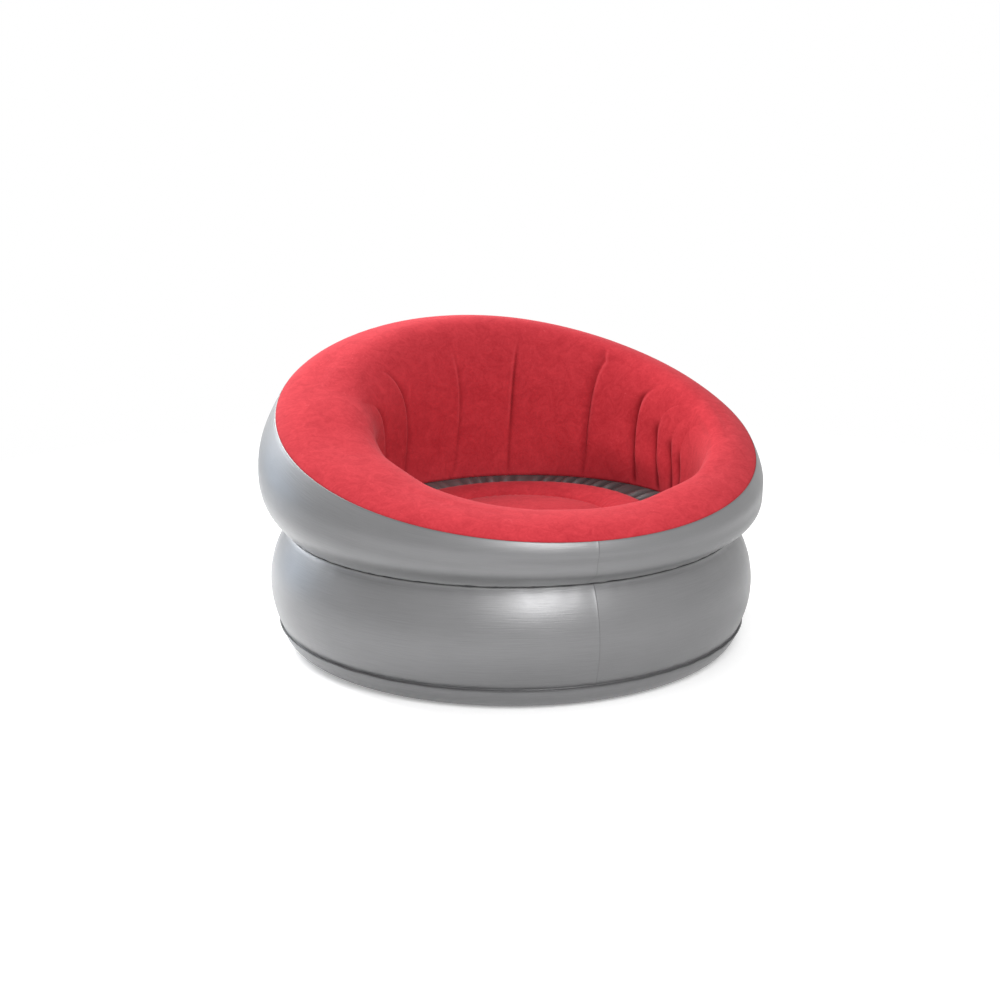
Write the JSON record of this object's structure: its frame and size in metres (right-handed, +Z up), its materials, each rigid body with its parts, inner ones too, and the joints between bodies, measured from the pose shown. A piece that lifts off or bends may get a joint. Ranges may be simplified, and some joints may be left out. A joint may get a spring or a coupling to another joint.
{
  "type": "inflatable armchair",
  "caption": "Round inflatable armchair: a low grey drum with a leaning ring on it, red flocked seat and bowl-shaped backrest with armrests in one, and air valves at the back.",
  "frame": {"origin": "on the floor under the middle of the drum", "axes": "+Z up, the low front of the ring faces -Y, the high back and the valves are at +Y, and +X is on the right when the chair is seen from its front"},
  "size_m": [1.0902, 1.101, 0.6399],
  "materials": {
    "red_flock": "short velvety flock on plastic sheet",
    "grey_sheet": "satin soft sheet with fine embossed lines",
    "web_sheet": "thin translucent-looking pale sheet, inside the chair",
    "valve_plastic": "smooth moulded soft plastic"
  },
  "bodies": {
    "chair": {"bottom_panel": "grey_sheet", "lower_outer_wall": "grey_sheet", "deck_panel": "grey_sheet", "seat_panel": "red_flock", "seat_inner_web": "web_sheet", "seat_outer_web": "web_sheet", "upper_outer_wall": "grey_sheet", "flocked_cover": "red_flock", "gusset_web_01": "web_sheet", "gusset_web_02": "web_sheet", "gusset_web_03": "web_sheet", "gusset_web_04": "web_sheet", "gusset_web_05": "web_sheet", "gusset_web_06": "web_sheet", "gusset_web_07": "web_sheet", "gusset_web_08": "web_sheet", "gusset_web_09": "web_sheet", "gusset_web_10": "web_sheet", "gusset_web_11": "web_sheet", "gusset_web_12": "web_sheet", "gusset_web_13": "web_sheet", "gusset_web_14": "web_sheet", "gusset_web_15": "web_sheet", "main_valve_flange": "valve_plastic", "main_valve_strap": "valve_plastic", "ring_valve_flange": "valve_plastic"},
    "main_plug": {"main_valve_plug": "valve_plastic"},
    "main_stopper": {"main_valve_stopper": "valve_plastic"},
    "main_flap": {"main_valve_flap": "web_sheet"},
    "ring_stopper": {"ring_valve_stopper": "valve_plastic"},
    "ring_flap": {"ring_valve_flap": "web_sheet"}
  },
  "joints": [
    {"name": "main_plug_bend", "type": "hinge", "parent": "chair", "child": "main_plug", "pos_m": [0, 0.53017, 0.186], "axis": [1, 0, 0], "range_deg": [0, 150]},
    {"name": "main_stopper_bend", "type": "hinge", "parent": "main_plug", "child": "main_stopper", "pos_m": [0, 0.53402, 0.1371], "axis": [-1, 0, 0], "range_deg": [0, 150]},
    {"name": "main_flap_bend", "type": "hinge", "parent": "main_plug", "child": "main_flap", "pos_m": [0, 0.51872, 0.1664], "axis": [-1, 0, 0], "range_deg": [0, 35], "stiffness_Nm_per_rad": 0.0005},
    {"name": "ring_stopper_bend", "type": "hinge", "parent": "chair", "child": "ring_stopper", "pos_m": [0, 0.54974, 0.4541], "axis": [1, 0, 0], "range_deg": [0, 150]},
    {"name": "ring_flap_bend", "type": "hinge", "parent": "chair", "child": "ring_flap", "pos_m": [0, 0.53729, 0.4468], "axis": [-1, 0, 0], "range_deg": [0, 35], "stiffness_Nm_per_rad": 0.0005}
  ]
}
